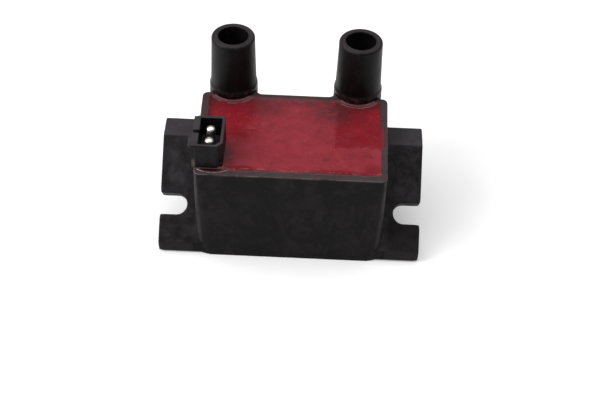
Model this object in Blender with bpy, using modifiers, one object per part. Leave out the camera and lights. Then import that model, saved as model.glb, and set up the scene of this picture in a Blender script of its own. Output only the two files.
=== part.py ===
"""Double-ended potted ignition coil, built as separate pieces.

Frame: +X to the right along the mounting wings, +Y to the back where the high-voltage towers stand,
+Z up. The origin is the middle of the footprint, on the surface that the coil stands on.
All lengths are metres, written as millimetres times MM.
"""

import math

import bmesh
import bpy
from mathutils import Matrix, Vector

MM = 0.001
GAP = 0.3 * MM

# Case: an open moulded box with two round lobes on its back face and two slotted wings.
CASE_WIDTH = 73.0 * MM
CASE_FLARE = 0.7 * MM
CASE_DEPTH = 49.5 * MM
CASE_HEIGHT = 43.1 * MM
CASE_CORNER_BELOW = 5.5 * MM
CASE_CORNER_ABOVE = 2.2 * MM
CAVITY_CORNER = 1.6 * MM
WALL = 2.3 * MM
FRONT_WALL = 2.8 * MM
FLOOR = 2.2 * MM

# High-voltage towers stand on the lobes.
TOWER_X = 25.1 * MM
TOWER_SET_BACK = 4.8 * MM
TOWER_TOP = 67.8 * MM
LOBE_RADIUS = 9.7 * MM
LOBE_FILLET = 2.5 * MM
SPIGOT_RADIUS = 7.0 * MM
SPIGOT_BOTTOM = 31.5 * MM
COLLAR_HEIGHT = 3.0 * MM
TOWER_BASE_RADIUS = 9.15 * MM
TOWER_RIM_RADIUS = 8.6 * MM
BORE_RADIUS = 5.9 * MM
BORE_FLOOR = 47.5 * MM
RIM_ROUND = 0.9 * MM

# Wings: one slanted slab through the case, clipped level at its foot and its top.
WING_SPAN = 103.1 * MM
WING_THICKNESS = 7.4 * MM
WING_ANGLE = math.radians(43.2)
WING_FOOT_SET_BACK = 0.6 * MM
WING_LIP_TOP = 5.3 * MM
WING_TOP = 34.6 * MM
WING_LIFT = 0.5 * MM
SLOT_X = 45.0 * MM
SLOT_UP_SLOPE = 15.45 * MM
SLOT_WIDTH = 8.36 * MM
SLOT_LEAN = math.radians(6)

# Connector socket on the front left corner, with two round pins and outer guide rails.
SOCKET_LEFT = -36.0 * MM
SOCKET_RIGHT = -25.4 * MM
SOCKET_FRONT = 2.9 * MM
SOCKET_BACK = 20.6 * MM
SOCKET_TOP = 54.5 * MM
SOCKET_WALL = 1.25 * MM
SOCKET_FLOOR = 45.9 * MM
SOCKET_CHAMFER = 2.2 * MM
PLUG_BOTTOM = 39.0 * MM
RAIL_LEFT = -37.3 * MM
LEDGE_LEFT = -38.5 * MM
LEDGE_THICKNESS = 1.6 * MM
LEDGE_BACK = 8.7 * MM
NOTCH_PLACE = 11.4 * MM
NOTCH_WIDTH = 1.7 * MM
PIN_X = -30.8 * MM
PIN_PLACES = {"front": 8.1 * MM, "rear": 14.9 * MM}
PIN_RADIUS = 1.8 * MM
PIN_TOP = 53.9 * MM
PIN_TAIL_RADIUS = 0.8 * MM
PIN_TAIL_BOTTOM = 32.7 * MM

# Potting resin: a cap over the windings with a skirt down the inside of the case.
RESIN_TOP = 42.7 * MM
RESIN_CAP_BOTTOM = 35.1 * MM
RESIN_SKIRT = 1.4 * MM

# Magnetic core and windings, about an axis along X.
CORE_HEIGHT = 12.0 * MM
LEG_HALF = 5.0 * MM
WINDOW_HALF = 14.1 * MM
OUTER_LEG = 4.8 * MM
SPINE = 5.0 * MM
CORE_LEFT = -31.0 * MM
CORE_LEG_END = 25.7 * MM
GAP_SPACER = 0.8 * MM
KEEPER = 4.2 * MM
PRIMARY_TUBE = (5.3 * MM, 6.1 * MM)
PRIMARY_COPPER = (6.4 * MM, 8.4 * MM)
PRIMARY_FLANGE = 9.4 * MM
SLEEVE = (8.7 * MM, 9.4 * MM)
SECONDARY_TUBE = (9.7 * MM, 10.4 * MM)
SECONDARY_COPPER = (10.7 * MM, 13.1 * MM)
SECONDARY_FLANGE = 13.7 * MM
FLANGE_THICKNESS = 1.0 * MM
WINDING_LEFT = -24.3 * MM
WINDING_RIGHT = 24.0 * MM
SECTIONS = 6
PRIMARY_LEAD_RADIUS = 0.6 * MM
HT_LEAD_RADIUS = 0.9 * MM
TAG_OFFSET = 4.0 * MM
TAG_STAGGER = 1.2 * MM

FOOTPRINT_DEPTH = CASE_DEPTH + TOWER_SET_BACK + LOBE_RADIUS
FRONT = -FOOTPRINT_DEPTH / 2
BACK = FRONT + CASE_DEPTH
TOWER_Y = BACK + TOWER_SET_BACK
CAVITY_FRONT = FRONT + FRONT_WALL
CAVITY_BACK = BACK - WALL
AXIS_Y = (CAVITY_FRONT + CAVITY_BACK) / 2
AXIS_Z = 18.9 * MM
SIDES = {"left": -1, "right": 1}
ROUND_STEPS = 48


def clear_scene():
    for obj in list(bpy.data.objects):
        bpy.data.objects.remove(obj, do_unlink=True)


def new_collection(name):
    collection = bpy.data.collections.new(name)
    bpy.context.scene.collection.children.link(collection)
    return collection


def new_material(name, colour, roughness, metallic=0.0):
    material = bpy.data.materials.new(name)
    material.use_nodes = True
    shader = material.node_tree.nodes["Principled BSDF"]
    shader.inputs["Base Color"].default_value = (*colour, 1.0)
    shader.inputs["Roughness"].default_value = roughness
    shader.inputs["Metallic"].default_value = metallic
    return material


clear_scene()
PARTS = new_collection("ignition_coil")
CUTTERS = new_collection("cutters")
MATERIALS = {
    "black_plastic": new_material("black_plastic", (0.02, 0.02, 0.022), 0.5),
    "red_resin": new_material("red_resin", (0.30, 0.02, 0.03), 0.3),
    "tinned_pin": new_material("tinned_pin", (0.75, 0.74, 0.70), 0.3, 1.0),
    "brass": new_material("brass", (0.70, 0.52, 0.25), 0.35, 1.0),
    "core_steel": new_material("core_steel", (0.32, 0.33, 0.35), 0.5, 1.0),
    "copper": new_material("copper", (0.65, 0.28, 0.12), 0.35, 1.0),
    "bobbin_plastic": new_material("bobbin_plastic", (0.75, 0.70, 0.58), 0.5),
    "sleeve_film": new_material("sleeve_film", (0.60, 0.42, 0.18), 0.4),
    "lead_cover": new_material("lead_cover", (0.55, 0.50, 0.42), 0.5),
    "gap_spacer": new_material("gap_spacer", (0.25, 0.20, 0.15), 0.6),
}


def place(name, mesh, material=None):
    """A new object in the parts collection, or with no material a hidden cutter."""
    obj = bpy.data.objects.new(name, mesh)
    if material:
        PARTS.objects.link(obj)
        mesh.materials.append(MATERIALS[material])
    else:
        CUTTERS.objects.link(obj)
        obj.hide_render = True
        obj.display_type = "WIRE"
    return obj


def mesh_from(name, form):
    mesh = bpy.data.meshes.new(name)
    form.to_mesh(mesh)
    form.free()
    return mesh


def box_form(low, high):
    form = bmesh.new()
    bmesh.ops.create_cube(form, size=1.0)
    low, high = Vector(low), Vector(high)
    bmesh.ops.scale(form, vec=high - low, verts=form.verts)
    bmesh.ops.translate(form, vec=(low + high) / 2, verts=form.verts)
    return form


def edges_along(form, axis):
    return [e for e in form.edges if abs((e.verts[0].co - e.verts[1].co).normalized()[axis]) > 0.99]


def box(name, low, high, material=None, rounding=0.0, along=2, segments=5):
    """A box whose four edges along one axis may be rounded."""
    form = box_form(low, high)
    if rounding:
        edges = edges_along(form, along)
        bmesh.ops.bevel(form, geom=edges, offset=rounding, segments=segments, affect="EDGES", profile=0.5)
    return place(name, mesh_from(name, form), material)


def corner_outline(low, high, radius, segments=6):
    """Points anticlockwise round a rectangle in plan with rounded corners."""
    points = []
    corners = ((high[0], high[1]), (low[0], high[1]), (low[0], low[1]), (high[0], low[1]))
    for turn, (x, y) in enumerate(corners):
        middle_x = x - math.copysign(radius, x - (low[0] + high[0]) / 2)
        middle_y = y - math.copysign(radius, y - (low[1] + high[1]) / 2)
        for step in range(segments + 1):
            angle = math.pi / 2 * (turn + step / segments)
            points.append((middle_x + radius * math.cos(angle), middle_y + radius * math.sin(angle)))
    return points


def loft(name, sections, material=None):
    """A closed solid through level outlines of equal length, as (height, outline) from the bottom up."""
    form = bmesh.new()
    rings = [[form.verts.new((x, y, height)) for x, y in outline] for height, outline in sections]
    form.faces.new(list(reversed(rings[0])))
    form.faces.new(rings[-1])
    for below, above in zip(rings, rings[1:]):
        for index in range(len(below)):
            following = (index + 1) % len(below)
            form.faces.new((below[index], below[following], above[following], above[index]))
    return place(name, mesh_from(name, form), material)


def cylinder(name, radius, low, high, x, y, material=None, steps=ROUND_STEPS):
    form = bmesh.new()
    bmesh.ops.create_cone(
        form, cap_ends=True, segments=steps, radius1=radius, radius2=radius, depth=high - low
    )
    bmesh.ops.translate(form, vec=(x, y, (low + high) / 2), verts=form.verts)
    return place(name, mesh_from(name, form), material)


def turned(name, profile, x, y, material, closed, steps=ROUND_STEPS):
    """A solid of revolution from (radius, height) points that run top to bottom on the outer side."""
    form = bmesh.new()
    points = [form.verts.new((radius, 0, height)) for radius, height in profile]
    pairs = list(zip(points, points[1:])) + ([(points[-1], points[0])] if closed else [])
    for pair in pairs:
        form.edges.new(pair)
    obj = place(name, mesh_from(name, form), material)
    obj.location = (x, y, 0)
    screw = obj.modifiers.new("turn", "SCREW")
    screw.axis = "Z"
    screw.steps = screw.render_steps = steps
    screw.use_merge_vertices = True
    screw.merge_threshold = 1e-6
    return obj


def wire(name, points, radius, material):
    """A round lead along a poly spline, with filled ends."""
    curve = bpy.data.curves.new(name, "CURVE")
    curve.dimensions = "3D"
    curve.bevel_depth = radius
    curve.bevel_resolution = 2
    curve.use_fill_caps = True
    spline = curve.splines.new("POLY")
    spline.points.add(len(points) - 1)
    for target, point in zip(spline.points, points):
        target.co = (*point, 1.0)
    curve.materials.append(MATERIALS[material])
    obj = bpy.data.objects.new(name, curve)
    PARTS.objects.link(obj)
    return obj


def smooth_route(points, steps=6):
    """Points on a Catmull-Rom curve through the route's own points."""
    ends = [2 * points[0] - points[1], *points, 2 * points[-1] - points[-2]]
    route = []
    for a, b, c, d in zip(ends, ends[1:], ends[2:], ends[3:]):
        for step in range(steps):
            t = step / steps
            bend = (2 * a - 5 * b + 4 * c - d) * t**2 + (3 * b - a - 3 * c + d) * t**3
            route.append(0.5 * (2 * b + (c - a) * t + bend))
    return [*route, points[-1]]


def boolean(obj, other, operation="DIFFERENCE"):
    modifier = obj.modifiers.new(other.name, "BOOLEAN")
    modifier.object = other
    modifier.operation = operation
    modifier.solver = "EXACT"
    return obj


def square_ring(name, left, right, inner, outer, material, rounding=1.0 * MM):
    """A square tube along X about the coil's axis, with a square hole."""
    ring = box(
        name,
        (left, AXIS_Y - outer, AXIS_Z - outer),
        (right, AXIS_Y + outer, AXIS_Z + outer),
        material,
        rounding,
        along=0,
        segments=3,
    )
    hole = box(
        name + "_hole",
        (left - WALL, AXIS_Y - inner, AXIS_Z - inner),
        (right + WALL, AXIS_Y + inner, AXIS_Z + inner),
    )
    return boolean(ring, hole)


def slope_matrix(x, up_slope, depth):
    """Axes of the slanted wing face: local Y runs up the slope and local Z points out of the face."""
    origin = Vector((x, FRONT + WING_FOOT_SET_BACK, WING_LIP_TOP))
    turn = Matrix.Rotation(WING_ANGLE, 4, "X")
    return Matrix.Translation(origin) @ turn @ Matrix.Translation((0, up_slope, -depth))


def wing_slab():
    """The slab of both wings, clipped level at the foot, at the front lip and at the top strip."""
    half = WING_SPAN / 2
    long_way = 40 * MM
    slab = box("wing_slab", (-half, -long_way, -WING_THICKNESS), (half, 2 * long_way, 0))
    slab.matrix_world = slope_matrix(0, 0, 0)
    clip = box(
        "wing_clip",
        (-WING_SPAN, FRONT + WING_FOOT_SET_BACK, WING_LIFT),
        (WING_SPAN, BACK, WING_TOP),
    )
    return boolean(slab, clip, "INTERSECT")


def wing_slot(side):
    """An open-ended slot through the wing, a little steeper than its face's normal, with a round end."""
    radius = SLOT_WIDTH / 2
    form = box_form((-radius, -radius, -2 * WING_THICKNESS), (WING_SPAN / 4, radius, WING_THICKNESS))
    inner = [e for e in edges_along(form, 2) if e.verts[0].co.x < 0]
    bmesh.ops.bevel(form, geom=inner, offset=radius * 0.998, segments=10, affect="EDGES", profile=0.5)
    slot = place(f"slot_{side}", mesh_from(f"slot_{side}", form))
    turn = Matrix.Rotation(0 if SIDES[side] > 0 else math.pi, 4, "Z")
    lean = Matrix.Rotation(-SLOT_LEAN, 4, "X")
    slot.matrix_world = slope_matrix(SIDES[side] * SLOT_X, SLOT_UP_SLOPE, 0) @ lean @ turn
    return slot


def lead_window(side, inside, outside):
    """A tall opening through which a high-voltage lead reaches its tower."""
    half = 2.4 * MM
    x = SIDES[side] * TOWER_X
    return box(
        f"lead_window_{side}_{len(CUTTERS.objects)}",
        (x - half, inside, SPIGOT_BOTTOM - 7 * MM),
        (x + half, outside, SPIGOT_BOTTOM - 1 * MM),
    )


def lobe_fillet(side):
    """The hollow fillet between a lobe and the back face, on the side towards the middle."""
    sign = SIDES[side]
    reach = LOBE_RADIUS + LOBE_FILLET
    middle_x = TOWER_X - math.sqrt(reach**2 - (TOWER_SET_BACK - LOBE_FILLET) ** 2)
    ends = sorted((sign * middle_x, sign * TOWER_X))
    touch = BACK + LOBE_FILLET + LOBE_FILLET * (TOWER_SET_BACK - LOBE_FILLET) / reach
    block = box(f"fillet_block_{side}", (ends[0], BACK - WALL / 2, 0), (ends[1], touch, CASE_HEIGHT))
    hollow = cylinder(
        f"fillet_hollow_{side}",
        LOBE_FILLET,
        -WALL,
        2 * CASE_HEIGHT,
        sign * middle_x,
        BACK + LOBE_FILLET,
        steps=40,
    )
    return boolean(block, hollow)


def case_outline(radius):
    """The case in plan: a rounded rectangle that widens evenly from its front face to its back."""
    half = CASE_WIDTH / 2
    outline = corner_outline((-half, FRONT), (half, BACK), radius)
    return [(x * (1 + CASE_FLARE / half * (y - FRONT) / CASE_DEPTH), y) for x, y in outline]


def build_case():
    """The outer box, rounder at the foot of its corners, with all that joins it and is cut from it."""
    half = CASE_WIDTH / 2
    case = loft(
        "case",
        ((0, case_outline(CASE_CORNER_BELOW)), (CASE_HEIGHT, case_outline(CASE_CORNER_ABOVE))),
        "black_plastic",
    )
    for side, sign in SIDES.items():
        lobe = cylinder(f"lobe_{side}", LOBE_RADIUS, 0, CASE_HEIGHT, sign * TOWER_X, TOWER_Y)
        boolean(case, lobe, "UNION")
        boolean(case, lobe_fillet(side), "UNION")
    boolean(case, wing_slab(), "UNION")
    cavity = box(
        "cavity",
        (WALL - half, CAVITY_FRONT, FLOOR),
        (half - WALL, CAVITY_BACK, 2 * CASE_HEIGHT),
        rounding=CAVITY_CORNER,
    )
    boolean(case, cavity)
    for side, sign in SIDES.items():
        socket = cylinder(
            f"lobe_bore_{side}", SPIGOT_RADIUS + GAP, FLOOR, 2 * CASE_HEIGHT, sign * TOWER_X, TOWER_Y
        )
        boolean(case, socket)
        boolean(case, lead_window(side, CAVITY_BACK - WALL / 2, TOWER_Y))
        boolean(case, wing_slot(side))
    return case


def build_resin():
    half = CASE_WIDTH / 2 - WALL - GAP
    front = CAVITY_FRONT + GAP
    back = CAVITY_BACK - GAP
    resin = box(
        "potting_resin",
        (-half, front, FLOOR + GAP),
        (half, back, RESIN_TOP),
        "red_resin",
        CAVITY_CORNER,
    )
    pocket = box(
        "resin_pocket",
        (RESIN_SKIRT - half, front + RESIN_SKIRT, 0),
        (half - RESIN_SKIRT, back - RESIN_SKIRT, RESIN_CAP_BOTTOM),
    )
    boolean(resin, pocket)
    _, right, _, far = plug_outline()
    seat = box(
        "plug_seat",
        (-CASE_WIDTH, FRONT, PLUG_BOTTOM - GAP),
        (right + GAP, far + GAP, CASE_HEIGHT),
    )
    boolean(resin, seat)
    for end, place_y in PIN_PLACES.items():
        hole = cylinder(
            f"tail_hole_{end}", PIN_TAIL_RADIUS + GAP, 0, CASE_HEIGHT, PIN_X, FRONT + place_y, steps=16
        )
        boolean(resin, hole)
    for side in SIDES:
        boolean(resin, lead_window(side, back - 2 * RESIN_SKIRT, TOWER_Y))
    return resin


def plug_outline():
    """The part of the socket that goes down inside the case walls."""
    left = WALL + 2 * GAP - CASE_WIDTH / 2
    near = CAVITY_FRONT + 2 * GAP
    return left, SOCKET_RIGHT, near, FRONT + SOCKET_BACK


def chamfered_corner_box(name, low, high, chamfer, material=None):
    """A box with its front right upright corner cut off."""
    form = box_form(low, high)
    corner = [e for e in edges_along(form, 2) if e.verts[0].co.x > 0.5 * (low[0] + high[0])]
    corner = [e for e in corner if e.verts[0].co.y < 0.5 * (low[1] + high[1])]
    bmesh.ops.bevel(form, geom=corner, offset=chamfer, segments=1, affect="EDGES")
    return place(name, mesh_from(name, form), material)


def build_connector_housing():
    seat = CASE_HEIGHT + GAP
    near, far = FRONT + SOCKET_FRONT, FRONT + SOCKET_BACK
    housing = chamfered_corner_box(
        "connector_housing",
        (SOCKET_LEFT, near, seat),
        (SOCKET_RIGHT, far, SOCKET_TOP),
        SOCKET_CHAMFER,
        "black_plastic",
    )
    left, right, plug_near, plug_far = plug_outline()
    plug = box(
        "plug", (left, plug_near, PLUG_BOTTOM), (right, plug_far, seat + WALL), rounding=CAVITY_CORNER
    )
    boolean(housing, plug, "UNION")
    overlap = SOCKET_WALL / 2
    rail = box("rail", (RAIL_LEFT, near + GAP, seat), (SOCKET_LEFT + overlap, far - GAP, SOCKET_TOP))
    ledge = box(
        "ledge",
        (LEDGE_LEFT, near, SOCKET_TOP - LEDGE_THICKNESS),
        (SOCKET_LEFT + overlap, FRONT + LEDGE_BACK, SOCKET_TOP),
    )
    boolean(housing, rail, "UNION")
    boolean(housing, ledge, "UNION")
    cavity = chamfered_corner_box(
        "socket_cavity",
        (SOCKET_LEFT + SOCKET_WALL, near + SOCKET_WALL, SOCKET_FLOOR),
        (SOCKET_RIGHT - SOCKET_WALL, far - SOCKET_WALL, 2 * SOCKET_TOP),
        SOCKET_CHAMFER * 0.8,
    )
    boolean(housing, cavity)
    notch_y = FRONT + NOTCH_PLACE
    notch = box(
        "key_notch",
        (LEDGE_LEFT - WALL, notch_y - NOTCH_WIDTH / 2, SOCKET_FLOOR + WALL),
        (SOCKET_LEFT + 2 * SOCKET_WALL, notch_y + NOTCH_WIDTH / 2, 2 * SOCKET_TOP),
    )
    boolean(housing, notch)
    for end, place_y in PIN_PLACES.items():
        hole = cylinder(
            f"pin_hole_{end}", PIN_TAIL_RADIUS + GAP, 0, SOCKET_TOP, PIN_X, FRONT + place_y, steps=16
        )
        boolean(housing, hole)
    return housing


def build_connector_pin(end):
    """A round-headed pin that stands on the socket floor, with a thin tail down to the windings."""
    dome = [
        (PIN_RADIUS * math.sin(a), PIN_TOP - PIN_RADIUS * 0.7 * (1 - math.cos(a)))
        for a in [math.pi / 2 * step / 6 for step in range(7)]
    ]
    shoulder = SOCKET_FLOOR + GAP
    profile = dome + [
        (PIN_RADIUS, shoulder),
        (PIN_TAIL_RADIUS, shoulder),
        (PIN_TAIL_RADIUS, PIN_TAIL_BOTTOM),
        (0, PIN_TAIL_BOTTOM),
    ]
    y = FRONT + PIN_PLACES[end]
    return turned(f"connector_pin_{end}", profile, PIN_X, y, "tinned_pin", closed=False, steps=24)


def build_tower(side):
    """A hollow tower with a round rim, a base collar, and a spigot down into its lobe."""
    seat = CASE_HEIGHT + GAP
    stem_hole = 1.5 * MM + GAP
    rim = [
        (radius + RIM_ROUND * sign * math.sin(angle), TOWER_TOP - RIM_ROUND * (1 - math.cos(angle)))
        for radius, sign, angles in (
            (BORE_RADIUS + RIM_ROUND, -1, (90, 60, 30, 0)),
            (TOWER_RIM_RADIUS - RIM_ROUND, 1, (0, 30, 60, 90)),
        )
        for angle in map(math.radians, angles)
    ]
    profile = [
        (stem_hole, SPIGOT_BOTTOM),
        (stem_hole, BORE_FLOOR),
        (BORE_RADIUS, BORE_FLOOR),
        *rim,
        (TOWER_BASE_RADIUS, seat + COLLAR_HEIGHT),
        (LOBE_RADIUS - 0.05 * MM, seat + COLLAR_HEIGHT - 0.5 * MM),
        (LOBE_RADIUS - 0.05 * MM, seat),
        (SPIGOT_RADIUS, seat),
        (SPIGOT_RADIUS, SPIGOT_BOTTOM),
    ]
    return turned(f"hv_tower_{side}", profile, SIDES[side] * TOWER_X, TOWER_Y, "black_plastic", closed=True)


def build_hv_terminal(side):
    """A turned contact: a cup at the bottom of the bore on a stem through the tower."""
    stem, head, cup = 1.5 * MM, 2.6 * MM, 1.4 * MM
    seat = BORE_FLOOR + GAP
    top = seat + 6.5 * MM
    profile = [
        (0, top - 3.5 * MM),
        (cup, top - 3.5 * MM),
        (cup, top),
        (head, top),
        (head, seat),
        (stem, seat),
        (stem, SPIGOT_BOTTOM - 3 * MM),
        (0, SPIGOT_BOTTOM - 3 * MM),
    ]
    name, x = f"hv_terminal_{side}", SIDES[side] * TOWER_X
    return turned(name, profile, x, TOWER_Y, "brass", closed=False, steps=24)


def core_plate(name, left, right, half_depth):
    return box(
        name,
        (left, AXIS_Y - half_depth, AXIS_Z - CORE_HEIGHT / 2),
        (right, AXIS_Y + half_depth, AXIS_Z + CORE_HEIGHT / 2),
        "core_steel",
    )


def build_core():
    """An E stack with its middle leg through the bobbins, a gap spacer, and an I stack across the ends."""
    outer = WINDOW_HALF + OUTER_LEG
    e_stack = core_plate("core_e_stack", CORE_LEFT, CORE_LEG_END, outer)
    for index, sign in enumerate((-1, 1)):
        ends = sorted((AXIS_Y + sign * LEG_HALF, AXIS_Y + sign * WINDOW_HALF))
        window = box(
            f"core_window_{index}",
            (CORE_LEFT + SPINE, ends[0], AXIS_Z - CORE_HEIGHT),
            (CORE_LEG_END + WALL, ends[1], AXIS_Z + CORE_HEIGHT),
        )
        boolean(e_stack, window)
    spacer_left = CORE_LEG_END + GAP
    box(
        "air_gap_spacer",
        (spacer_left, AXIS_Y - LEG_HALF, AXIS_Z - CORE_HEIGHT / 2),
        (spacer_left + GAP_SPACER, AXIS_Y + LEG_HALF, AXIS_Z + CORE_HEIGHT / 2),
        "gap_spacer",
    )
    keeper_left = spacer_left + GAP_SPACER + GAP
    core_plate("core_i_stack", keeper_left, keeper_left + KEEPER, outer)


def build_primary():
    left, right = CORE_LEFT + SPINE + GAP, CORE_LEG_END - GAP
    bobbin = box(
        "primary_bobbin",
        (left, AXIS_Y - PRIMARY_TUBE[1], AXIS_Z - PRIMARY_TUBE[1] - 1 * MM),
        (right, AXIS_Y + PRIMARY_TUBE[1], AXIS_Z + PRIMARY_TUBE[1] + 1 * MM),
        "bobbin_plastic",
    )
    for index, start in enumerate((left, right - FLANGE_THICKNESS)):
        flange = box(
            f"primary_flange_{index}",
            (start, AXIS_Y - PRIMARY_FLANGE, AXIS_Z - PRIMARY_FLANGE),
            (start + FLANGE_THICKNESS, AXIS_Y + PRIMARY_FLANGE, AXIS_Z + PRIMARY_FLANGE),
        )
        boolean(bobbin, flange, "UNION")
    bore = box(
        "primary_bore",
        (2 * left, AXIS_Y - PRIMARY_TUBE[0], AXIS_Z - CORE_HEIGHT / 2 - GAP),
        (2 * right, AXIS_Y + PRIMARY_TUBE[0], AXIS_Z + CORE_HEIGHT / 2 + GAP),
    )
    boolean(bobbin, bore)
    copper_left = left + FLANGE_THICKNESS + GAP
    copper_right = right - FLANGE_THICKNESS - GAP
    winding = box(
        "primary_winding",
        (copper_left, AXIS_Y - PRIMARY_COPPER[1], AXIS_Z - PRIMARY_COPPER[1]),
        (copper_right, AXIS_Y + PRIMARY_COPPER[1], AXIS_Z + PRIMARY_COPPER[1]),
        "copper",
        1.0 * MM,
        along=0,
        segments=3,
    )
    inside = box(
        "primary_winding_hole",
        (2 * left, AXIS_Y - PRIMARY_COPPER[0], AXIS_Z - PRIMARY_COPPER[0] - 1 * MM),
        (2 * right, AXIS_Y + PRIMARY_COPPER[0], AXIS_Z + PRIMARY_COPPER[0] + 1 * MM),
    )
    boolean(winding, inside)
    square_ring("insulation_sleeve", WINDING_LEFT, WINDING_RIGHT, *SLEEVE, "sleeve_film", 0.6 * MM)


def build_secondary():
    """A chambered bobbin whose flanges part the fine winding into sections."""
    bobbin = box(
        "secondary_bobbin",
        (WINDING_LEFT, AXIS_Y - SECONDARY_TUBE[1], AXIS_Z - SECONDARY_TUBE[1]),
        (WINDING_RIGHT, AXIS_Y + SECONDARY_TUBE[1], AXIS_Z + SECONDARY_TUBE[1]),
        "bobbin_plastic",
    )
    pitch = (WINDING_RIGHT - WINDING_LEFT - FLANGE_THICKNESS) / SECTIONS
    for index in range(SECTIONS + 1):
        start = WINDING_LEFT + index * pitch
        flange = box(
            f"secondary_flange_{index}",
            (start, AXIS_Y - SECONDARY_FLANGE, AXIS_Z - SECONDARY_FLANGE),
            (start + FLANGE_THICKNESS, AXIS_Y + SECONDARY_FLANGE, AXIS_Z + SECONDARY_FLANGE),
        )
        boolean(bobbin, flange, "UNION")
    bore = box(
        "secondary_bore",
        (2 * WINDING_LEFT, AXIS_Y - SECONDARY_TUBE[0], AXIS_Z - SECONDARY_TUBE[0]),
        (2 * WINDING_RIGHT, AXIS_Y + SECONDARY_TUBE[0], AXIS_Z + SECONDARY_TUBE[0]),
    )
    boolean(bobbin, bore)
    for index in range(SECTIONS):
        start = WINDING_LEFT + index * pitch + FLANGE_THICKNESS + GAP
        end = WINDING_LEFT + (index + 1) * pitch - GAP
        square_ring(f"secondary_winding_{index + 1}", start, end, *SECONDARY_COPPER, "copper")


def build_leads():
    spine_top = AXIS_Z + CORE_HEIGHT / 2 + GAP
    for (end, place_y), sign in zip(PIN_PLACES.items(), (-1, 1)):
        tag_y = AXIS_Y + sign * TAG_OFFSET
        tag_x = CORE_LEFT + SPINE / 2 - sign * TAG_STAGGER
        box(
            f"primary_tag_{end}",
            (tag_x - 1.0 * MM, tag_y - 0.4 * MM, spine_top),
            (tag_x + 1.0 * MM, tag_y + 0.4 * MM, spine_top + 3.5 * MM),
            "brass",
        )
        route = [
            Vector((PIN_X, FRONT + place_y, PIN_TAIL_BOTTOM - GAP)),
            Vector((PIN_X, FRONT + place_y, PIN_TAIL_BOTTOM - 2 * MM)),
            Vector((tag_x, (FRONT + place_y + tag_y) / 2, spine_top + 5.2 * MM)),
            Vector((tag_x, tag_y, spine_top + 4.5 * MM)),
        ]
        wire(f"primary_lead_{end}", smooth_route(route), PRIMARY_LEAD_RADIUS, "lead_cover")
    for side, sign in SIDES.items():
        tower = Vector((sign * TOWER_X, TOWER_Y, SPIGOT_BOTTOM - 4.3 * MM))
        below = AXIS_Z + CORE_HEIGHT / 2 + 2 * MM
        route = [
            Vector((sign * (TOWER_X + 1.2 * MM), AXIS_Y + 10.6 * MM, below)),
            Vector((sign * (TOWER_X + 1.2 * MM), AXIS_Y + 16 * MM, below)),
            Vector((tower.x, CAVITY_BACK - 1.5 * MM, tower.z)),
            Vector((tower.x, TOWER_Y - 1.2 * MM, tower.z)),
        ]
        wire(f"ht_lead_{side}", smooth_route(route), HT_LEAD_RADIUS, "lead_cover")


build_case()
build_resin()
build_connector_housing()
for pin_end in PIN_PLACES:
    build_connector_pin(pin_end)
for tower_side in SIDES:
    build_tower(tower_side)
    build_hv_terminal(tower_side)
build_core()
build_primary()
build_secondary()
build_leads()

for part in PARTS.objects:
    if part.type == "MESH" and len(part.data.polygons):
        part.data.shade_smooth()
        part.data.set_sharp_from_angle(angle=math.radians(35))
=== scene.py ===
"""Looks of the potted ignition coil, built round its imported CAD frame.

Everything is in metres in the frame's own axes: +X right along the wings, +Y back to the towers, +Z up.
"""

import math

import bmesh
import bpy
import numpy as np
from mathutils import Matrix, Vector, noise


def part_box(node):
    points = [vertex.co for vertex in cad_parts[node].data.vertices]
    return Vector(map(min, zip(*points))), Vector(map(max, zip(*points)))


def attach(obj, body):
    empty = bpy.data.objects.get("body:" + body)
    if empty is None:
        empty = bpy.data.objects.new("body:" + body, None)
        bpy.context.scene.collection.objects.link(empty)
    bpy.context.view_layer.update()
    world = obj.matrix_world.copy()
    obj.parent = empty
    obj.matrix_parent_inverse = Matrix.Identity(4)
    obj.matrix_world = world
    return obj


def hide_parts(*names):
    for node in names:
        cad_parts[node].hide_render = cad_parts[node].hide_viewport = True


MM = 0.001

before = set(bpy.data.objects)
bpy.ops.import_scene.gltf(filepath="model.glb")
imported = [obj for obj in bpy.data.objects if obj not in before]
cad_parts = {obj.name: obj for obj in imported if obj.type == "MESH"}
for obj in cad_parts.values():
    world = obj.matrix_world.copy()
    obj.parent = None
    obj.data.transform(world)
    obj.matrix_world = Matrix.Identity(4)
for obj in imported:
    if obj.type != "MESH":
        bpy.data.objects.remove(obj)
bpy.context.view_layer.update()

# ---------------------------------------------------------------- places taken from the frame
CASE_LOW, CASE_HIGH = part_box("case")
RESIN_LOW, RESIN_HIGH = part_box("potting_resin")
SOCKET_LOW, SOCKET_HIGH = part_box("connector_housing")
RIM_Z = CASE_HIGH.z
SIDES = ("left", "right")
TOWER_BOXES = {side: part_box(f"hv_tower_{side}") for side in SIDES}
TOWER_CENTRES = {
    side: Vector(((low.x + high.x) / 2, (low.y + high.y) / 2, 0)) for side, (low, high) in TOWER_BOXES.items()
}
SOCKET_RIGHT = SOCKET_HIGH.x
SOCKET_FRONT = SOCKET_LOW.y
SOCKET_BACK = SOCKET_HIGH.y

# ---------------------------------------------------------------- sizes that the frame doesn't state
FRAME_GAP = 0.3 * MM
CASE_VOXEL = 0.34 * MM
SOCKET_VOXEL = 0.16 * MM

# The case's rim, its cavity and its wings.
CAVITY_LOW = Vector((RESIN_LOW.x - FRAME_GAP, RESIN_LOW.y - FRAME_GAP, 0))
CAVITY_HIGH = Vector((RESIN_HIGH.x + FRAME_GAP, RESIN_HIGH.y + FRAME_GAP, 0))
CAVITY_CORNER = 1.6 * MM
CAVITY_BACK_WALL = 2.3 * MM
CASE_RIM_HALF = 36.5 * MM
CASE_CORNER = 2.2 * MM
WING_ANGLE = math.radians(43.2)
WING_FOOT = Vector((0, CASE_LOW.y + 0.6 * MM, 5.3 * MM))
SLOT_UP_SLOPE = 15.4 * MM
SLOT_DEEPEST = -9 * MM

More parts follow.
